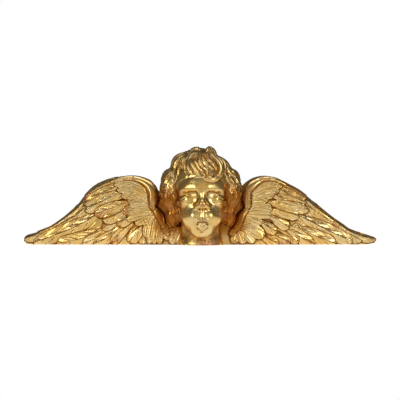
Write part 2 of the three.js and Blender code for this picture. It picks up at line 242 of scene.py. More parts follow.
rightWing = {
    "name": "right_wing",
    "side": 1,
    "seed": 11,
    "edge": [
        (0, 72), (60, 88), (71, 99), (81, 108), (94, 114.5), (110, 117), (125, 114), (137, 109),
        (150, 102.5), (166, 94), (180, 84), (194, 72.5), (209, 59.5), (223, 48), (241, 35.5), (256, 25.5),
        (276, 18.5), (299, 11),
    ],
    "tip": [(276, 10, 11), (293.5, 8.8, 6.8)],
    "rolls": [
        [(53, 19, 4.5), (60, 29, 6.5), (66, 40, 7.5), (71, 51, 7), (79, 60, 4.5)],
        [(80, 67, 6.5), (79, 79, 8), (81, 92, 7.5), (89, 102, 7.5), (100, 109, 6), (112, 112, 4.5),
         (129, 110, 3.5), (145, 102, 2.5)],
    ],
    "rows": [
        ("quill", [
            ((166, 87), (208, 54), (254, 22), 13),
            ((205, 56), (250, 24), (298, 9), 16),
            ((179, 67), (233, 31), (274, 6), 20),
            ((167, 49), (212, 26), (258, 4), 19),
            ((163, 30), (196, 14), (230, 1), 19),
            ((146, 32), (166, 15), (192, 1), 17),
            ((133, 28), (150, 17), (166, 3), 13),
            ((104, 16), (116, 9), (133, 2), 13),
            ((108, 25), (129, 14), (153, 3), 14, 1),
        ]),
        ("short", [
            ((123, 109), (154, 97), (180, 78), 15, 0.8),
            ((125, 98), (150, 85), (179, 70), 15),
            ((123, 86), (150, 73), (178, 64), 16),
            ((104, 38), (116, 29), (130, 22), 15),
            ((119, 49), (135, 39), (150, 28), 16),
            ((119, 57), (143, 54), (167, 47), 16),
            ((116, 71), (150, 65), (184, 58), 15),
        ]),
        ("lobe", [
            ((89, 94), (110, 106), (135, 105), 11),
            ((88, 88), (112, 100), (139, 99), 12),
            ((89, 82), (112, 92), (134, 91), 12),
            ((90, 77), (110, 84), (125, 83), 12),
            ((91, 72), (104, 77), (115, 75), 11),
            ((71, 36), (81, 32), (91, 29), 12),
            ((72, 44), (89, 42), (105, 38), 13),
            ((75, 51), (98, 53), (119, 48), 13),
            ((79, 55), (100, 64), (121, 58), 14),
            ((83, 61), (96, 70), (111, 71), 12),
            ((60, 25), (59, 13), (60, 3), 12),
            ((64, 28), (70, 15), (75, 3), 12),
            ((69, 30), (80, 20), (91, 4), 14),
            ((73, 32), (90, 27), (106, 12), 17),
        ]),
    ],
}


def boardDepth(out, up, top):
    depth = mix(wing["rootDepth"], wing["tipDepth"], clamp((out - 60) / 240) ** 0.75)
    share = clamp(up / np.maximum(top, 4))
    return depth * (1 - 0.3 * share ** 4) * (0.93 + 0.07 * np.sin(math.pi * share))


def leafShare(t):
    swell = mix(0.55, 1, ease(t / 0.55))
    return swell * np.sqrt(np.maximum(0, 1 - clamp((t - 0.72) / 0.28) ** 2.4)) + 0.12


def tuftShape(along, off, reach, period, start):
    # long rounded tufts that leave the shaft at a low angle, reach along for one off:
    # 0 on top of a tuft, and down to about -1 in the cuts
    w = np.mod((along - reach * off) / period + start, 1.0)
    return 0.5 * (w - 1) - 0.42 * (0.5 + 0.5 * np.cos(2 * math.pi * w))


def leafCut(kind, t, s, length, half, start):
    # the tool marks on one leaf, as height added to its face
    cut = cuts[kind]
    if kind == "lobe":       # strands combed side by side
        across = s + cut["waver"] * np.sin(3 * t + 6 * start)
        comb = np.abs(np.sin(math.pi * (cut["strands"] * (1 + 0.5 * start) * across + 0.5)))
        return -cut["depth"] * (1 - comb ** 0.7) * ease(t / 0.1) * (1 - 0.3 * t)
    # a shaft between two lines, and long tufts beside it
    along, off = t * length, np.abs(s) * half
    reach = cut["reach"] + cut["reachSpread"] * start
    period = cut["period"] + cut["periodSpread"] * start
    tufts = tuftShape(along, off, reach, period, start + cut["stagger"] * (s > 0))
    shaft = np.exp(-(off / 0.8) ** 2) - np.exp(-((off - cut["shaftLine"]) / 0.7) ** 2)
    tuftDepth = cut["depth"] * ease((off - cut["tuftsFrom"]) / 2)
    return (cut["shaft"] * shaft + tuftDepth * tufts) * ease(t / 0.08)


def carveWing(draw):
    cell = wing["cell"]
    xs = np.arange(0, 303, cell)
    zs = np.arange(-1, 121, cell)
    out, up = np.meshgrid(xs, zs, indexing="ij")
    curve = splinePath(draw["edge"], 400)
    top = np.interp(xs, curve[:, 0], curve[:, 1])[:, None] + 0 * up
    slope = np.gradient(top[:, 0], cell)
    lean = 1 / np.sqrt(1 + slope ** 2)
    fromEdge = (top - up) * lean[:, None]
    board = boardDepth(out, up, top)
    base = board * (0.5 + 0.5 * np.sqrt(1 - (1 - clamp(fromEdge / wing["boardRound"])) ** 2))
    height = wing["groundShare"] * base
    flat = np.column_stack([out.ravel(), up.ravel()])
    # the wing ends in a rounded lobe
    share, gap = nearestOnPath(flat, np.array(draw["tip"], float)[:, :2])
    lobe = mix(draw["tip"][0][2], draw["tip"][1][2], share) - np.hypot(gap[:, 0], gap[:, 1])
    tipEdge = np.where(out > draw["tip"][0][0], lobe.reshape(out.shape), 50.0)
    inside = np.minimum(fromEdge, tipEdge)
    rub = np.zeros_like(height)
    line = np.zeros_like(height)
    paintedShadeMask = np.zeros_like(height)
    rng = np.random.default_rng(draw["seed"])
    for level, (kind, leaves) in enumerate(draw["rows"]):
        for index, leaf in enumerate(leaves):
            root, middle, tip = (np.array(p, float) for p in leaf[:3])
            width = leaf[3]
            worn = leaf[4] if len(leaf) > 4 else 0               # red clay showing at the tip
            bold = 0.5 if kind == "lobe" else 1.0                # the combed lobes run together
            path = bezierPath([root, 2 * middle - (root + tip) / 2, tip], 26)
            low, high = path.min(0) - width, path.max(0) + width
            near = np.flatnonzero((flat >= low).all(1) & (flat <= high).all(1))
            t, gap = nearestOnPath(flat[near], path)
            tangent = np.gradient(path, axis=0)
            i = np.minimum((t * 25).astype(int), 25)
            side = tangent[i, 0] * gap[:, 1] - tangent[i, 1] * gap[:, 0]
            dist = np.hypot(gap[:, 0], gap[:, 1])
            half = 0.56 * width * leafShare(t)
            s = np.sign(side) * clamp(dist / half)
            inner = half - dist
            length = np.linalg.norm(np.diff(path, axis=0), axis=1).sum()
            lift = min(level, 2.3) + 0.12 * (index % 2) + 0.1 * (rng.random() - 0.5)
            face = base.ravel()[near] + wing["step"] * (lift + 0.55 * t - 0.35 - 0.2 * s)
            face += bold * wing["crown"] * (1 - s * s) + leafCut(kind, t, s, length, half, rng.random())
            shoulder = 1 - clamp(inner / wing["edgeRound"])
            face -= 1.5 * (1 - np.sqrt(1 - shoulder ** 2))
            around = bold * np.exp(-((inner + 0.5) / 0.65) ** 2) * ease((t - 0.05) / 0.3)
            here = height.ravel()[near] - wing["outline"] * around
            height.ravel()[near] = np.where(inner > 0, np.maximum(here, face), here)
            shown = (inner > 0) & (face > here)
            bare = worn * ease((t - 0.45) / 0.5) * mix(0.6, 1, clamp(0.5 - 0.5 * s))
            rub.ravel()[near] = np.where(shown, bare, rub.ravel()[near])
            drawn = np.maximum(line.ravel()[near] * (1 - shown), around)
            rim = shown * bold * np.exp(-(inner / 0.5) ** 2) * ease(t / 0.3)
            line.ravel()[near] = np.maximum(drawn, rim)
            inside.ravel()[near] = np.maximum(inside.ravel()[near], inner)
    for nodes in draw["rolls"]:
        roll = splinePath(nodes, 60)
        t, gap = nearestOnPath(flat, roll[:, :2])
        radius = np.interp(t, np.linspace(0, 1, 60), roll[:, 2]).reshape(height.shape)
        tangent = np.gradient(roll[:, :2], axis=0)
        i = np.minimum((t * 59).astype(int), 59)
        toHead = (tangent[i, 0] * gap[:, 1] - tangent[i, 1] * gap[:, 0]).reshape(height.shape)
        dist = np.hypot(gap[:, 0], gap[:, 1]).reshape(height.shape)
        s = np.sign(toHead) * clamp(dist / radius) + wing["rollPeak"]
        s /= np.where(s > 0, 1 + wing["rollPeak"], 1 - wing["rollPeak"])
        far = np.hypot(out - 54, up - 20) / 150          # the roll thins towards its outer end
        lift = wing["rollDepth"] * mix(1, 0.55, ease((far - 0.35) / 0.65))
        dome = lift + wing["rollFront"] / 8.5 * radius * np.sqrt(np.maximum(1 - s * s, 0))
        height -= wing["outline"] * 0.7 * np.exp(-((radius - dist + 0.5) / 0.7) ** 2)
        onRoll = dist < radius
        height = np.where(onRoll, np.maximum(height, dome), height)
        rub[onRoll] = 0
        # the roll is marked for painted shade and painted gold-on-gold reflection, strongest near the head
        paintedShadeMask = np.maximum(paintedShadeMask, onRoll * fadeOut(out, wing["paintedShadeRollOut"]))
        line = np.where(onRoll, 0, np.maximum(line, np.exp(-((radius - dist + 0.5) / 0.7) ** 2)))
        inside = np.maximum(inside, radius - dist)
    inside = np.minimum(inside, np.minimum(fromEdge + wing["overEdge"], tipEdge))
    inside = np.minimum(inside, np.minimum(up, out))
    height += wing["unevenness"] * handWave(height.shape, 11, draw["seed"])
    return xs, zs, height, inside, rub, line, paintedShadeMask


def boundaryLoop(quads):
    # the outline of a patch of quads, in order
    a = quads.ravel()
    b = np.roll(quads, -1, axis=1).ravel()
    edges = set(zip(a.tolist(), b.tolist()))
    follow = {p: q for p, q in edges if (q, p) not in edges}
    loops = []
    while follow:
        start = next(iter(follow))
        loop = []
        here = start
        while here in follow:
            loop.append(here)
            here = follow.pop(here)
        loops.append(loop)
    return max(loops, key=len)


def largestPatch(keep):
    # drops loose cells: spreads from a row of cells that is surely on the wing
    sure = 40
    seed = np.zeros_like(keep)
    seed[sure, :] = keep[sure, :]
    while True:
        grown = seed.copy()
        grown[1:] |= seed[:-1]
        grown[:-1] |= seed[1:]
        grown[:, 1:] |= seed[:, :-1]
        grown[:, :-1] |= seed[:, 1:]
        grown &= keep
        if (grown == seed).all():
            return seed
        seed = grown


def hollowsAndRidges(height, cell):
    # how deep a place lies among its neighbours, and how far it stands out
    near = blurGrid(height, 1.1 / cell) - height
    wide = blurGrid(height, 3.0 / cell) - height
    hollowAndShade = ease(clamp(near / 0.55) * 0.6 + clamp(wide / 1.6) * 0.6)
    ridge = ease(clamp(-near / 0.4) * 0.6 + clamp(-wide / 1.6) * 0.5)
    return hollowAndShade, ridge


def makeMesh(name, points, faces, smooth, sharpPairs, values):
    mesh = bpy.data.meshes.new(name)
    mesh.from_pydata(points.tolist(), [], faces)
    mesh.update()
    mesh.polygons.foreach_set("use_smooth", smooth)
    if sharpPairs:
        ends = np.empty(len(mesh.edges) * 2, int)
        mesh.edges.foreach_get("vertices", ends)
        ends = np.sort(ends.reshape(-1, 2), axis=1)
        sharp = np.array([(a, b) in sharpPairs for a, b in ends.tolist()])
        mesh.attributes.new("sharp_edge", "BOOLEAN", "EDGE").data.foreach_set("value", sharp)
    for key, data in values.items():
        mesh.attributes.new(key, "FLOAT", "POINT").data.foreach_set("value", data.astype(np.float32))
    piece = bpy.data.objects.new(name, mesh)
    bpy.context.scene.collection.objects.link(piece)
    return piece


def buildWing(draw):
    xs, zs, height, inside, rub, line, paintedShadeMask = carveWing(draw)
    cell = wing["cell"]
    hollowAndShade, ridge = hollowsAndRidges(np.where(inside > -2, height, blurGrid(height, 6)), cell)
    hollowAndShade = np.maximum(hollowAndShade, 0.95 * line)
    out, up = np.repeat(xs, len(zs)), np.tile(zs, len(xs))
    # painted shade low beside the neck, laid into the glaze mask
    low = fadeOut(out, wing["neckShadeOut"]) * fadeOut(up, wing["neckShadeUp"])
    hollowAndShade = np.maximum(hollowAndShade, wing["neckShade"] * low.reshape(hollowAndShade.shape))
    # painted shade and painted gold-on-gold reflection in the gap beside the head and on the roll
    shade = fadeOut(out, wing["paintedShadeOut"]) * fadeIn(up, wing["paintedShadeLow"]) * fadeOut(up, wing["paintedShadeHigh"])
    shade = np.maximum(shade, wing["paintedShadeRoll"] * paintedShadeMask.ravel())
    near = inside > -0.6 * cell
    keep = near[:-1, :-1] & near[1:, :-1] & near[:-1, 1:] & near[1:, 1:]
    keep = largestPatch(keep)
    number = np.arange(inside.size).reshape(inside.shape)
    i, j = np.nonzero(keep)
    quads = np.column_stack([number[i, j], number[i + 1, j], number[i + 1, j + 1], number[i, j + 1]])
    if draw["side"] < 0:
        quads = quads[:, ::-1]
    loop = np.array(boundaryLoop(quads))
    # the points of the outline slide onto the drawn one
    soft = blurGrid(inside, 0.8)
    slopeX, slopeZ = np.gradient(soft, cell)
    gx, gz = slopeX.ravel()[loop], slopeZ.ravel()[loop]
    steep = np.maximum(gx ** 2 + gz ** 2, 0.05)
    move = np.clip(-inside.ravel()[loop] / steep, -cell, cell)
    out[loop] = np.maximum(out[loop] + move * gx, 0)
    up[loop] = np.maximum(up[loop] + move * gz, 0)
    used = np.unique(quads)
    renumber = np.full(inside.size, -1)
    renumber[used] = np.arange(len(used))
    depth = height.ravel()[used]
    front = toRow(draw["side"] * out[used], depth, up[used])
    rim = renumber[loop]
    back = front[rim].copy()
    back[:, 1] = block["backY"] / 1000
    points = np.vstack([front, back])
    count, turns = len(used), len(loop)
    faces = renumber[quads].tolist()
    behind = [count + k for k in range(turns)]
    for k in range(turns):
        n = (k + 1) % turns
        faces.append([int(rim[n]), int(rim[k]), behind[k], behind[n]])
    faces.append(behind)
    smooth = [True] * (len(faces) - 1) + [False]
    sharp = {tuple(sorted((int(rim[k]), int(rim[(k + 1) % turns])))) for k in range(turns)}
    sharp |= {tuple(sorted((behind[k], behind[(k + 1) % turns]))) for k in range(turns)}
    values = {
        "hollowAndShade": np.concatenate([hollowAndShade.ravel()[used], np.full(turns, 0.2)]),
        "ridge": np.concatenate([ridge.ravel()[used], np.zeros(turns)]),
        "rub": np.concatenate([rub.ravel()[used], np.zeros(turns)]),
        "bare": np.concatenate([np.zeros(count), np.ones(turns)]),
        "shade": np.concatenate([shade[used], np.zeros(turns)]),
    }
    piece = makeMesh(draw["name"], points, faces, smooth, sharp, values)
    print(draw["name"], len(faces), "faces")
    return piece


# the head, in hundredths of its height: across, forward, up from its middle

head = {
    # in millimetres
    "height": 138.0,
    "chinRise": 15.5,          # height of the chin over the underside
    "standOff": 46.0,          # from the flat back to the middle of the head
    "side": 2.0,
    "turn": math.radians(3),
    "neckWidth": 84.0,
    "lockHeight": 5.0,         # height of a full lock
    "paintedShadeAside": (28, 12),    # painted shade and painted gold-on-gold reflection, deep orange, low at the sides
    "paintedShadeUp": (30, 34),
    "paintedShadeForward": (-30, 20),
    "paintedShadeFoot": (14, 16),     # and less of it on the foot of the neck
    # in hundredths of the height
    "neckBack": 14.0,          # how far the neck lies behind the middle of the head
    "lockGroove": 0.8,         # depth of the lines in a lock
    "combGroove": 0.15,        # and of those between the locks
    "unevenness": 0.1,
    "crownShadeFrom": (30, 18),     # painted shade: darker gold towards the crown, on the top of the head
    # shares
    "crownShadeMost": 0.42,
    "paintedShadeFootLeast": 0.1,
    "faceWear": 0.25,          # how much of the rubbing reaches the face
    "seed": 3,
}
head["rise"] = head["chinRise"] + 0.495 * head["height"]
point = head["height"] / 100
headMiddle = np.array([0, -head["neckBack"], 0])      # the mesh of the head is spread from here


def ellipsoid(p, middle, radii):
    q = (p - middle) / radii
    near = np.linalg.norm(q, axis=1)
    slope = np.linalg.norm(q / radii, axis=1)
    return np.where(slope > 1e-9, near * (near - 1) / np.maximum(slope, 1e-9), -min(radii))


def ball(p, middle, radius):
    return np.linalg.norm(p - np.asarray(middle), axis=1) - radius


def stroke(p, start, end, radius, endRadius):
    start, end = np.asarray(start, float), np.asarray(end, float)
    along = end - start
    share = clamp((p - start) @ along / (along @ along))
    return np.linalg.norm(p - start - share[:, None] * along, axis=1) - mix(radius, endRadius, share)


def melt(a, b, width):
    share = clamp(0.5 + 0.5 * (b - a) / width)
    return mix(b, a, share) - width * share * (1 - share)


def cutInto(a, tool, width):
    return -melt(-a, tool, width)


def eyeField(p):
    # a blank ball that follows the turn of the face, and two heavy lids round the opening
    q = p - np.array([15.8, 18.6, -5.4])
    q[:, 1] += 0.035 * np.maximum(q[:, 0], 0) ** 2
    across = q[:, 0] / 9.8
    upper = 4.6 - 1.6 * across - 3.6 * across ** 2
    lower = -4.2 - 1.6 * across + 5.2 * across ** 2
    gap = np.maximum(q[:, 2] - upper, lower - q[:, 2])           # over 0 on the lids
    size = np.hypot(q[:, 0] / 12.5, q[:, 2] / 8.2)
    lid = 0.95 * ease(gap / 0.7 + 0.3) * (1 - ease((size - 0.75) / 0.35))
    return ellipsoid(q, (0, 0, 0), (13.0, 9.2, 9.0)) - lid


def faceField(points):
    p = points.copy()
    p[:, 0] = np.abs(p[:, 0])
    d = ellipsoid(p, (0, -3, 13), (31, 36, 33))
    d = melt(d, ellipsoid(p, (0, 10.5, 6), (30, 24.2, 22)), 9)               # broad forehead
    d = melt(d, ellipsoid(p, (0, 8, -7), (28.5, 20, 16)), 5)                 # temples
    d = melt(d, ellipsoid(p, (0, 4, -11), (26.5, 29, 39.5)), 6)              # middle of the face and jaw
    d = melt(d, ellipsoid(p, (9.5, 17.0, -27), (15, 13.6, 11.5)), 6)         # cheek
    d = melt(d, ellipsoid(p, (0, 23.0, -32), (12.5, 10.3, 12)), 7)          # round the mouth
    d = melt(d, ellipsoid(p, (0, 19.4, -43.2), (11, 8.8, 7)), 9)            # chin
    d = cutInto(d, ellipsoid(p, (15.8, 36.0, -4.0), (12.5, 8.0, 8)), 9)      # socket
    d = melt(d, stroke(p, (7, 29.6, 7.6), (20, 24.4, 7.2), 2.2, 1.8), 7)     # brow
    d = cutInto(d, stroke(p, (8, 31.8, 2.4), (22, 26.2, 1.4), 1.5, 1.3), 5.0)   # fold over the lid
    d = melt(d, eyeField(p), 1.0)
    d = melt(d, stroke(p, (0, 30.2, 5.5), (0, 34.2, -9.5), 2.8, 4.2), 5)     # bridge
    d = melt(d, ellipsoid(p, (0, 34.0, -11.6), (5.0, 4.8, 4.6)), 4)
    d = melt(d, ellipsoid(p, (5.4, 30.6, -13.6), (3.0, 4.6, 3.6)), 3)        # side of the nose
    d = melt(d, ball(p, (8.5, 25.6, -24.5), 7.2), 4)
    d = cutInto(d, ellipsoid(p, (0, 38.5, -19.6), (9.5, 5.8, 2.6)), 1.8)     # under the nose
    d = cutInto(d, ellipsoid(p, (3.6, 34.4, -17.2), (2.1, 3.2, 1.2)), 0.6)   # nostril
    d = cutInto(d, stroke(p, (0, 35.4, -20), (0, 35.6, -27), 0.5, 0.9), 2.6)
    d = melt(d, stroke(p, (2.4, 31.4, -20), (2.8, 32.0, -25.5), 1.2, 1.6), 3.2)
    d = melt(d, ellipsoid(p, (2.8, 31.9, -30.4), (4.4, 3.6, 1.9)), 2.0)      # upper lip
    d = melt(d, ellipsoid(p, (2.4, 31.0, -36.4), (4.6, 4.5, 3.7)), 1.6)        # lower lip
    d = melt(d, ellipsoid(p, (0, 30.6, -39.2), (4.4, 4.4, 4.2)), 2.4)
    d = cutInto(d, ellipsoid(p, (0, 37.4, -32.5), (7.6, 6.0, 0.9)), 1.3)
    d = cutInto(d, stroke(p, (0, 32.4, -44.6), (6.6, 31.0, -39.6), 0.8, 0.3), 2.6)
    d = melt(d, ellipsoid(p, (9.6, 25.4, -36), (2.8, 4.2, 5.6)), 3.6)        # beside the mouth
    return d


def neckField(p):
    half = head["neckWidth"] / 2 / point
    widen = 1 + 0.12 * ease((-50 - p[:, 2]) / 11)
    radius = np.hypot(p[:, 0] / (half * 0.85), (p[:, 1] + head["neckBack"]) / (half * 0.78)) / widen
    return np.maximum((radius - 1) * half * 0.78, p[:, 2] + 30)


def hairField(points):
    p = points.copy()
    p[:, 0] = np.abs(p[:, 0])
    d = ellipsoid(p, (0, -3, 12.5), (36, 36.6, 40))
    d = melt(d, ball(p, (19, -2, 29), 15), 6)
    d = melt(d, ball(points, (-21.5, -2, 37.5), 12.3), 5)      # fuller on the left of the crown
    d = melt(d, ellipsoid(points, (-2, -2, 42), (21, 20, 15.5)), 5)
    d = melt(d, ellipsoid(p, (35, -3, 6), (12.8, 16, 25)), 4)
    d = melt(d, ellipsoid(p, (32.5, -5, -21), (8.5, 12, 17)), 4)
    half = mix(27.5, 30.5, ease((p[:, 2] + 8) / 14))
    power = np.where(p[:, 2] > -13, 3.5, 2.5)
    tall = np.where(p[:, 2] > -13, 33, 37)
    window = (((p[:, 0] / half) ** power + (np.abs(p[:, 2] + 13) / tall) ** power) ** (1 / power) - 1) * 26
    return cutInto(d, np.maximum(window, 5 - p[:, 1]), 3)


def headField(p):
    d = melt(np.minimum(hairField(p), faceField(p)), neckField(p), 1.5)
    back = -(p[:, 1] + (head["standOff"] - 0.3) / point)
    base = -(p[:, 2] + head["rise"] / point)
    return np.maximum(d, np.maximum(back, base))


def surface(ways, start=0.0):
    # how far out from start each direction meets the head
    stride, nearEnough, slip = 0.75, 0.003, 0.05
    start = np.zeros_like(ways) + start
    far = np.full(len(ways), 100.0)
    unmet = np.arange(len(ways))
    for _ in range(110):
        gap = headField(start[unmet] + ways[unmet] * far[unmet, None])
        far[unmet] -= gap * stride
        unmet = unmet[np.abs(gap) > nearEnough]
        if not len(unmet):
            break
    for _ in range(3):       # polished, as the gilding mirrors the least unevenness
        gap = headField(start + ways * far[:, None])
        slope = (headField(start + ways * (far[:, None] + 0.01)) - gap) / 0.01
        far -= np.clip(gap / np.maximum(slope, slip), -slip, slip)
    return far


def direction(bearing, height):
    b, h = np.broadcast_arrays(np.radians(bearing), np.radians(height))
    return np.stack([np.sin(b) * np.cos(h), np.cos(b) * np.cos(h), np.sin(h)], axis=-1)


def fromFront(pairs):
    # places on the head that the front view shows at across, up
    across, up = np.asarray(pairs, float).T
    forward = np.full(len(across), 30.0)
    for _ in range(8):
        place = np.column_stack([across, forward, up]) - headMiddle
        ways = place / np.linalg.norm(place, axis=1)[:, None]
        place = headMiddle + ways * surface(ways, headMiddle)[:, None]
        forward = np.maximum(place[:, 1], 2)
    return place


def frontLock(pairs, width, crown=1.0, strands=3):
    return {"track": fromFront(splinePath(pairs, 7)), "width": width, "crown": crown, "strands": strands}


def sideLock(controls, width, crown=1.0, strands=3):
    track = bezierPath(controls, 9)
    ways = direction(track[:, 0], track[:, 1])
    return {"track": ways * surface(ways)[:, None], "width": width, "crown": crown, "strands": strands}


def hairLocks():
    locks = []
    # rows of waving locks down the sides and the back
    for side in (-1, 1):
        for row, top in enumerate((58, 34, 12, -8)):
            for k in range(5):
                bearing = side * (mix(108, 168, k / 4) + 6 * (row % 2))
                sway = side * (9 if (k + row) % 2 else -9)
                controls = [
                    (bearing * 0.94, top), (bearing + sway, top - 10),
                    (bearing - sway, top - 20), (bearing + 0.4 * sway, top - 33),
                ]
                locks.append(sideLock(controls, 11.5))
    # strands that wave side by side beside the face, round the side first and then seen from the front
    for side in (-1, 1):
        for row, top in enumerate((42, 20, -2, -23)):
            sway = 6 if row % 2 else -6
            for k in range(4):
                turn = 101 - 7.6 * k - 0.06 * max(0, -top) * k
                controls = [
                    (side * turn, top + 3), (side * (turn + sway), top - 7),
                    (side * (turn - sway), top - 17), (side * (turn + 0.4 * sway), top - 28),
                ]
                locks.append(sideLock(controls, 5.6, 0.55 + 0.45 * ((k + row) % 2), 2))
        for k in range(4):
            for row, top in enumerate((26, 5, -15)):
                sway = 0.16 if row % 2 else -0.16
                pairs = []
                for drop, shift in ((-2, 0), (6, sway), (15, -sway), (25, 0.3 * sway)):
                    up = top - drop
                    inner = mix(27.5, 30.5, clamp((up + 8) / 14)) + 0.5
                    outer = np.interp(up, (-38, -21, 6, 24), (34, 40, 47, 43.5))
                    pairs.append((side * mix(inner, outer, 0.14 + 0.23 * k + shift), up))
                locks.append(frontLock(pairs, 4.6, 0.6 + 0.35 * ((k + row) % 2), 2))
    # combed from the crown over the sides of the brow
    for pairs, width in (
        ([(-10, 56), (-27, 50), (-36, 41), (-40.5, 33), (-43, 25)], 7.5),
        ([(-11, 54), (-27, 44), (-32.3, 36.7), (-34.5, 27)], 6.5),
        ([(-10, 53), (-22.5, 42), (-27, 33.3), (-29, 24)], 6.5),
        ([(-8, 53), (-19.5, 42.7), (-22, 36), (-20, 27.5)], 7),
        ([(14, 54), (30, 44.2), (36, 36), (41.2, 27.6), (43.5, 20)], 7.5),
        ([(13, 53), (29.9, 39), (33, 30), (33.5, 22)], 6.5),
        ([(12, 53), (26.2, 41.2), (28.6, 31.4), (28.5, 24)], 6),
        ([(11, 53), (22.4, 41.2), (25.1, 33.3), (26, 26)], 6),
    ):
        locks.append(frontLock(pairs, width, 0.9))
    # the forelock
    for pairs, width, crown, strands in (
        ([(-16, 37), (-17, 31.4), (-12, 25)], 5.5, 0.8, 3),
        ([(-7, 52), (-14.5, 41.2), (-11.2, 32.9), (-1.8, 21.5)], 7.5, 1.15, 3),
        ([(-4, 52), (-9.6, 41.2), (-5.5, 33.7), (3, 23)], 6, 1.0, 3),
        ([(-1, 52), (-5, 42), (-1.6, 35.9), (5.6, 28)], 6, 1.0, 3),
        ([(1, 52), (-0.5, 43), (5.5, 36), (12.8, 31)], 6.5, 1.05, 3),
        ([(4, 52), (7.5, 42.5), (13.5, 37), (16.8, 30.5)], 5.5, 1.0, 2),
        ([(0, 33), (5.5, 29.2), (5.2, 23.4)], 4.5, 0.9, 2),
        ([(13.4, 25.5), (10.5, 20.8), (6, 21.2), (5.8, 24.2)], 3.6, 1.0, 1),
        ([(12, 49), (19.6, 38), (22.4, 29.5), (19, 21.2), (11.1, 17.3), (2.0, 18.6)], 7.8, 1.6, 1),
    ):
        locks.append(frontLock(pairs, width, crown, strands))
    # the tufts at the crown
    for pairs, width, crown in (
        ([(-14, 52), (-10, 56), (-4, 56.5), (1, 53)], 8, 0.9),
        ([(7, 53), (10.5, 55.5), (15, 53), (19, 46)], 10, 1.7),
    ):
        locks.append(frontLock(pairs, width, crown, 3))
    return locks


def combHair(points, locks):
    # how far the locks stand over the mass of the hair
    rise = np.zeros(len(points))
    crownUnit = head["lockHeight"] / point
    for lock in locks:
        path = splinePath(lock["track"], 22)
        reach = lock["width"]
        near = np.flatnonzero((points > path.min(0) - reach).all(1) & (points < path.max(0) + reach).all(1))
        if not len(near):
            continue
        t, gap = nearestOnPath(points[near], path)
        outward = points[near] - headMiddle
        outward /= np.linalg.norm(outward, axis=1)[:, None]
        tangent = np.gradient(path, axis=0)[np.minimum((t * 21).astype(int), 21)]
        aside = np.cross(outward, tangent)
        aside /= np.maximum(np.linalg.norm(aside, axis=1), 1e-9)[:, None]
        dist = np.linalg.norm(gap, axis=1)
        half = lock["width"] / 2 * np.sin(math.pi * mix(0.12, 0.94, t)) ** 0.6
        s = np.sign((gap * aside).sum(1)) * clamp(dist / half)
        bodyRise = crownUnit * lock["crown"] * (0.4 + 0.6 * np.sin(math.pi * clamp(t, 0, 1)) ** 0.8)
        comb = 0.5 + 0.5 * np.cos(math.pi * lock["strands"] * (s + 0.15 * np.sin(4 * t)))
        groove = head["lockGroove"] * comb if lock["strands"] > 1 else 0
        high = bodyRise * np.sqrt(np.maximum(1 - s * s, 0)) - groove * (1 - s ** 6)
        rise[near] = np.maximum(rise[near], np.where(dist < half, high, 0))
    return rise


def headSteps():
    # degrees round and up at which the head is met: close together over the face
    half = np.concatenate([
        np.arange(0, 34, 0.42), np.arange(34, 62, 0.7), np.arange(62, 112, 1.6), np.arange(112, 180, 3.4),
    ])
    bearings = np.concatenate([half, [180.0], 360 - half[1:][::-1]])
    heights = np.concatenate([
        np.arange(-88.5, -72, 1.5), np.arange(-72, -50, 0.5),
        np.arange(-50, 34, 0.48), np.arange(34, 60, 1.0), np.arange(60, 89, 1.8),
    ])
    return bearings, heights


def clayPatches(p):
    # where the leaf is rubbed through to the clay on the face
    found = np.zeros(len(p))
    for across, up, wide, high, much in (
        (0, -12.5, 4.0, 2.6, 0.8), (-22, -22, 4.5, 6, 0.55), (23, -22, 4.5, 6, 0.55),
        (0, -29.6, 6, 0.9, 0.9), (0, -44.2, 3.4, 1.2, 1.0), (0, -54, 12, 1.6, 0.6),
    ):
        spot = np.exp(-((p[:, 0] - across) / wide) ** 2 - ((p[:, 2] - up) / high) ** 2)
        found = np.maximum(found, much * spot * (p[:, 1] > 4))
    return found


def ballFaces(rows, cols):
    # quads between the rows, and a fan at the lowest and the highest point, which are numbered last
    number = np.arange(rows * cols).reshape(rows, cols)
    nextOne = np.roll(number, -1, axis=1)
    quads = np.stack([number[1:], nextOne[1:], nextOne[:-1], number[:-1]], axis=-1)
    faces = quads.reshape(-1, 4).tolist()
    low, high = rows * cols, rows * cols + 1
    for a, b in zip(number[0].tolist(), nextOne[0].tolist()):
        faces.append([a, b, low])
    for a, b in zip(number[-1].tolist(), nextOne[-1].tolist()):
        faces.append([b, a, high])
    return faces


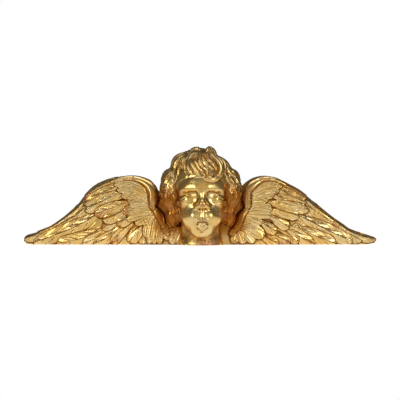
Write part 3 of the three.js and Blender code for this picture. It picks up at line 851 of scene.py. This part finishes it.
def buildHead():
    bearings, heights = headSteps()
    ways = direction(bearings[None, :], heights[:, None]).reshape(-1, 3)
    tall = np.repeat(heights, len(bearings))
    far = surface(ways, headMiddle)
    base = headMiddle + ways * far[:, None]
    locks = hairLocks()
    inHair = clamp(1.5 - np.abs(hairField(base)) / 0.6) * ease((base[:, 2] + 42) / 5)
    rise = combHair(base, locks)
    flatBack = base[:, 1] < -(head["standOff"] - 1.5) / point
    rise[flatBack] = 0
    shape = (len(heights), len(bearings))
    wave = handWave(shape, 7, head["seed"])
    wave *= ease((np.abs(ways[:, 2]) < 0.98).astype(float)).reshape(shape)
    hairFine = 0.5 + 0.5 * np.cos(np.radians(np.tile(bearings, len(heights))) * 46 + 2 * np.sin(tall / 7))
    far = far + rise - head["combGroove"] * inHair * hairFine * (rise < 0.2)
    far = far + head["unevenness"] * wave.ravel() * (~flatBack) * ease((tall + 62) / 8)
    back = ((head["standOff"] - 0.3) / point + headMiddle[1]) / np.maximum(-ways[:, 1], 1e-6)
    far = np.minimum(far, back)
    place = (headMiddle + ways * far[:, None]) * point
    c, s = math.cos(head["turn"]), math.sin(head["turn"])
    x = head["side"] + place[:, 0] * c + place[:, 1] * s
    depth = head["standOff"] + place[:, 1] * c - place[:, 0] * s
    z = head["rise"] + place[:, 2]
    points = toRow(x, np.maximum(depth, 0.3), np.maximum(z, 0))
    poleX = np.array([head["side"] + headMiddle[1] * point * s])
    poleDepth = np.array([head["standOff"] + headMiddle[1] * point * c])
    topFar = surface(np.array([[0.0, 0.0, 1.0]]), headMiddle)[0] * point
    poleLow = toRow(poleX, poleDepth, np.array([0.0]))
    poleHigh = toRow(poleX, poleDepth, np.array([head["rise"] + topFar + 2]))
    points = np.vstack([points, poleLow, poleHigh])
    faces = ballFaces(*shape)
    # painted shade and painted gold-on-gold reflection low at the sides of the head, less on the foot of
    # the neck
    shade = fadeIn(np.abs(place[:, 0]), head["paintedShadeAside"]) * fadeOut(place[:, 2], head["paintedShadeUp"])
    shade *= fadeIn(place[:, 1], head["paintedShadeForward"])
    shade *= mix(head["paintedShadeFootLeast"], 1, fadeIn(z, head["paintedShadeFoot"]))
    radial = (far * point).reshape(shape)
    hollowAndShade, ridge = hollowsAndRidges(radial, 0.62)
    ridge *= mix(1, head["faceWear"], (faceField(base) < 0.3).reshape(shape))
    # painted shade: the top of the head darker, laid into the glaze mask
    paintedCrownShade = head["crownShadeMost"] * fadeIn(place[:, 2] / point, head["crownShadeFrom"])
    hollowAndShade = np.maximum(hollowAndShade, paintedCrownShade.reshape(shape))
    values = {
        "hollowAndShade": np.append(hollowAndShade.ravel(), [0.2, 0.2]),
        "ridge": np.append(ridge.ravel(), [0, 0]),
        "rub": np.append(clayPatches(place / point) * (rise < 0.3), [0, 0]),
        "bare": np.append((flatBack | (place[:, 2] < -head["rise"] + 0.1)).astype(float), [1, 0]),
        "shade": np.append(shade, [0, 0]),
    }
    piece = makeMesh("cherub_head", points, faces, [True] * len(faces), None, values)
    print("cherub_head", len(faces), "faces")
    return piece


# gilding

gilding = {
    "gold": (0.92, 0.62, 0.2, 1),
    "goldPale": (0.96, 0.74, 0.35, 1),
    "paintedShadeAndReflection": (0.4, 0.13, 0.008, 1),       # painted shade and painted gold-on-gold reflection, deep orange between the head and the wings
    "glazeAndShade": (0.34, 0.15, 0.025, 1),      # brown toning in the cuts, and painted shade on the crown and low beside the neck
    "bole": (0.4, 0.1, 0.03, 1),          # red clay under the leaf
    "woodBack": (0.27, 0.16, 0.08, 1),
    "toneNoise": 38,                      # patches per metre, here and below
    "paintedShadeNoise": 60,
    "glazeAndShadeNoise": 90,
    "scuffNoise": 55,
    "speckNoise": 420,
    "tipNoise": 150,
    "roughNoise": 70,
    "leafNoise": 200,
    "rough": (0.17, 0.3),                 # of the burnished gold, from patch to patch
    "roughGlazeAndShade": 0.22,
    "roughWorn": 0.25,
    "scuffed": 0.8,
    "wornMetal": 0.5,                     # how much less of a metal the worn places are
    "leafBump": 0.25,
    "leafBumpDepth": 0.0003,
}


def mapRange(tree, value, limits, smooth=True):
    # value from limits[0] to limits[1] comes out as limits[2] to limits[3]
    node = tree.nodes.new("ShaderNodeMapRange")
    if smooth:
        node.interpolation_type = "SMOOTHSTEP"
    for socket, number in zip(("From Min", "From Max", "To Min", "To Max"), limits):
        node.inputs[socket].default_value = number
    tree.links.new(value, node.inputs["Value"])
    return node.outputs["Result"]


def gildingMaterial():
    material = bpy.data.materials.new("gilding")
    material.use_nodes = True
    nodes, links = material.node_tree.nodes, material.node_tree.links
    nodes.clear()
    output = nodes.new("ShaderNodeOutputMaterial")
    shader = nodes.new("ShaderNodeBsdfPrincipled")
    links.new(shader.outputs[0], output.inputs[0])
    coords = nodes.new("ShaderNodeTexCoord").outputs["Object"]

    def attribute(name):
        node = nodes.new("ShaderNodeAttribute")
        node.attribute_name = name
        return node.outputs["Fac"]

    def noise(scale, detail=3.0, rough=0.55):
        node = nodes.new("ShaderNodeTexNoise")
        node.inputs["Scale"].default_value = scale
        node.inputs["Detail"].default_value = detail
        node.inputs["Roughness"].default_value = rough
        links.new(coords, node.inputs["Vector"])
        return node.outputs["Fac"]

    def ramp(value, low, high, outLow=0.0, outHigh=1.0):
        return mapRange(material.node_tree, value, (low, high, outLow, outHigh))

    def maths(kind, a, b):
        node = nodes.new("ShaderNodeMath")
        node.operation = kind
        for socket, value in zip(node.inputs, (a, b)):
            if isinstance(value, (int, float)):
                socket.default_value = value
            else:
                links.new(value, socket)
        return node.outputs[0]

    def blend(share, a, b):
        node = nodes.new("ShaderNodeMix")
        node.data_type = "RGBA"
        links.new(share, node.inputs["Factor"])
        for socket, value in zip((node.inputs[6], node.inputs[7]), (a, b)):
            if isinstance(value, tuple):
                socket.default_value = value
            else:
                links.new(value, socket)
        return node.outputs[2]

    hollowAndShade, ridge, rub, bare, shade = (attribute(n) for n in ("hollowAndShade", "ridge", "rub", "bare", "shade"))
    tone = ramp(noise(gilding["toneNoise"]), 0.35, 0.65)
    gold = blend(tone, gilding["gold"], gilding["goldPale"])
    # painted shade and painted gold-on-gold reflection: deep orange where the shade mask is set
    paintedShadeMask = maths("MULTIPLY", shade, ramp(noise(gilding["paintedShadeNoise"]), 0.2, 0.7, 0.85, 1.0))
    gold = blend(paintedShadeMask, gold, gilding["paintedShadeAndReflection"])
    # brown glaze in the cuts, and painted shade on the crown and beside the neck
    glazedAndShaded = maths("MULTIPLY", hollowAndShade, ramp(noise(gilding["glazeAndShadeNoise"]), 0.2, 0.7, 0.75, 1.0))
    color = blend(glazedAndShaded, gold, gilding["glazeAndShade"])
    scuff = maths("MULTIPLY", ridge, ramp(noise(gilding["scuffNoise"], 5.0, 0.65), 0.52, 0.6))
    speck = ramp(noise(gilding["speckNoise"], 4.0, 0.7), 0.66, 0.7, 0.0, 0.55)
    tips = maths("MULTIPLY", rub, ramp(noise(gilding["tipNoise"], 4.0, 0.6), 0.4, 0.55))
    worn = maths("MAXIMUM", tips, maths("MULTIPLY", speck, ridge))
    worn = maths("MAXIMUM", maths("MULTIPLY", scuff, gilding["scuffed"]), worn)
    color = blend(worn, color, gilding["bole"])
    color = blend(bare, color, gilding["woodBack"])
    links.new(color, shader.inputs["Base Color"])
    dulled = maths("MAXIMUM", maths("MULTIPLY", worn, gilding["wornMetal"]), bare)
    links.new(maths("SUBTRACT", 1.0, dulled), shader.inputs["Metallic"])
    rough = ramp(noise(gilding["roughNoise"]), 0.3, 0.7, *gilding["rough"])
    rough = maths("ADD", rough, maths("MULTIPLY", glazedAndShaded, gilding["roughGlazeAndShade"]))
    rough = maths("ADD", rough, maths("MULTIPLY", maths("MAXIMUM", worn, bare), gilding["roughWorn"]))
    links.new(rough, shader.inputs["Roughness"])
    bump = nodes.new("ShaderNodeBump")
    bump.inputs["Strength"].default_value = gilding["leafBump"]
    bump.inputs["Distance"].default_value = gilding["leafBumpDepth"]
    links.new(noise(gilding["leafNoise"]), bump.inputs["Height"])
    links.new(bump.outputs[0], shader.inputs["Normal"])
    return material


# floor, light and camera

studio = {
    "floorRadius": 1.1,
    "floorGlow": 0.86,          # keeps the ground near white, as in the photograph
    "floorFade": (0.06, 0.3),   # where what the gilding sees of it falls off
    "floorMirrored": (0.43, 0.06),
    "floorStretch": 0.45,       # the fall is slower along the wings
    "softboxSize": (0.5, 0.7),
    "softboxGlow": 4.6,         # brightness of a softbox's face
    "softboxAway": 1.7,
    "softboxTurn": 40,          # degrees round from the camera
    "softboxRise": 10,
    "topSize": (1.6, 0.7),
    "topGlow": 1.6,
    "topAway": 1.6,
    "topRise": 66,
    "aimHeight": 0.08,
    "roomLow": (1.0, 0.8, 0.48, 1),
    "roomHigh": (1.0, 0.95, 0.92, 1),
    "roomTint": (0.1, 0.7, 0.0, 1.0),
    "roomAcross": (-0.98, -0.6, 0.54, 0.16),     # brightest straight behind the viewer
    "roomAbove": (0.2, 0.7, 1.0, 0.6),           # and darker overhead
    "sensor": 36,
    "cameraDistance": 2.4,
    "cameraHeight": 0.0756,
    "frameWidth": 0.667,        # metres across the picture at the middle of the object
}


def buildFloor():
    turns = np.linspace(0, 2 * math.pi, 96, endpoint=False)
    ring = [(studio["floorRadius"] * math.cos(t), studio["floorRadius"] * math.sin(t), 0) for t in turns]
    mesh = bpy.data.meshes.new("floor")
    mesh.from_pydata(ring, [], [tuple(range(len(ring)))])
    floor = bpy.data.objects.new("floor", mesh)
    bpy.context.scene.collection.objects.link(floor)
    material = bpy.data.materials.new("floor")
    material.use_nodes = True
    shader = material.node_tree.nodes["Principled BSDF"]
    shader.inputs["Base Color"].default_value = (0.85, 0.85, 0.86, 1)
    shader.inputs["Roughness"].default_value = 0.9
    shader.inputs["Specular IOR Level"].default_value = 0.0
    shader.inputs["Emission Color"].default_value = (1, 1, 1, 1)
    nodes, links = material.node_tree.nodes, material.node_tree.links
    length = nodes.new("ShaderNodeVectorMath")
    length.operation = "LENGTH"
    stretch = nodes.new("ShaderNodeMapping")
    stretch.inputs["Scale"].default_value = (studio["floorStretch"], 1, 1)
    links.new(nodes.new("ShaderNodeTexCoord").outputs["Object"], stretch.inputs[0])
    links.new(stretch.outputs[0], length.inputs[0])
    limits = studio["floorFade"] + studio["floorMirrored"]
    fall = mapRange(material.node_tree, length.outputs["Value"], limits, smooth=False)
    seen = nodes.new("ShaderNodeMix")
    seen.inputs[3].default_value = studio["floorGlow"]
    links.new(nodes.new("ShaderNodeLightPath").outputs["Is Camera Ray"], seen.inputs[0])
    links.new(fall, seen.inputs[2])
    links.new(seen.outputs[0], shader.inputs["Emission Strength"])
    mesh.materials.append(material)


def softbox(name, size, glow, away, turn, rise):
    light = bpy.data.lights.new(name, "AREA")
    light.shape = "RECTANGLE"
    light.size, light.size_y = size
    light.energy = glow * light.size * light.size_y * math.pi
    turn, rise = math.radians(turn), math.radians(rise)
    aim = Vector((math.sin(turn) * math.cos(rise), -math.cos(turn) * math.cos(rise), math.sin(rise)))
    lamp = bpy.data.objects.new(name, light)
    lamp.location = aim * away + Vector((0, 0, studio["aimHeight"]))
    lamp.rotation_euler = aim.to_track_quat("Z", "Y").to_euler()
    bpy.context.scene.collection.objects.link(lamp)


def buildStudio():
    buildFloor()
    for name, side in (("softbox_left", -1), ("softbox_right", 1)):
        softbox(name, studio["softboxSize"], studio["softboxGlow"], studio["softboxAway"],
                side * studio["softboxTurn"], studio["softboxRise"])
    softbox("softbox_top", studio["topSize"], studio["topGlow"], studio["topAway"], 0, studio["topRise"])
    world = bpy.data.worlds.new("studio")
    world.use_nodes = True
    nodes, links = world.node_tree.nodes, world.node_tree.links
    nodes.clear()
    output = nodes.new("ShaderNodeOutputWorld")
    toEye = nodes.new("ShaderNodeBackground")
    toEye.inputs["Color"].default_value = (1, 1, 1, 1)
    toEye.inputs["Strength"].default_value = 1.0
    around = nodes.new("ShaderNodeBackground")
    path = nodes.new("ShaderNodeLightPath")
    choose = nodes.new("ShaderNodeMixShader")
    links.new(path.outputs["Is Camera Ray"], choose.inputs[0])
    links.new(around.outputs[0], choose.inputs[1])
    links.new(toEye.outputs[0], choose.inputs[2])
    links.new(choose.outputs[0], output.inputs[0])
    coords = nodes.new("ShaderNodeTexCoord")
    split = nodes.new("ShaderNodeSeparateXYZ")
    links.new(coords.outputs["Generated"], split.inputs[0])
    across = mapRange(world.node_tree, split.outputs["Y"], studio["roomAcross"])
    above = mapRange(world.node_tree, split.outputs["Z"], studio["roomAbove"])
    times = nodes.new("ShaderNodeMath")
    times.operation = "MULTIPLY"
    links.new(across, times.inputs[0])
    links.new(above, times.inputs[1])
    links.new(times.outputs[0], around.inputs["Strength"])
    tint = nodes.new("ShaderNodeMix")
    tint.data_type = "RGBA"
    tint.inputs[6].default_value = studio["roomLow"]
    tint.inputs[7].default_value = studio["roomHigh"]
    links.new(mapRange(world.node_tree, split.outputs["Z"], studio["roomTint"]), tint.inputs["Factor"])
    links.new(tint.outputs[2], around.inputs["Color"])
    bpy.context.scene.world = world
    camera = bpy.data.cameras.new("camera")
    camera.sensor_width = studio["sensor"]
    camera.lens = studio["sensor"] * studio["cameraDistance"] / studio["frameWidth"]
    eye = bpy.data.objects.new("camera", camera)
    eye.location = (0, -studio["cameraDistance"], studio["cameraHeight"])
    eye.rotation_euler = (math.pi / 2, 0, 0)
    bpy.context.scene.collection.objects.link(eye)
    bpy.context.scene.camera = eye
    bpy.context.scene.view_settings.view_transform = "Standard"
    print("studio ready")


buildStudio()
pieces = [buildHead(), buildWing(leftWing), buildWing(rightWing)]
gold = gildingMaterial()
for piece in pieces:
    piece.data.materials.append(gold)
    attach(piece, "root")
    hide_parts(nodeName)
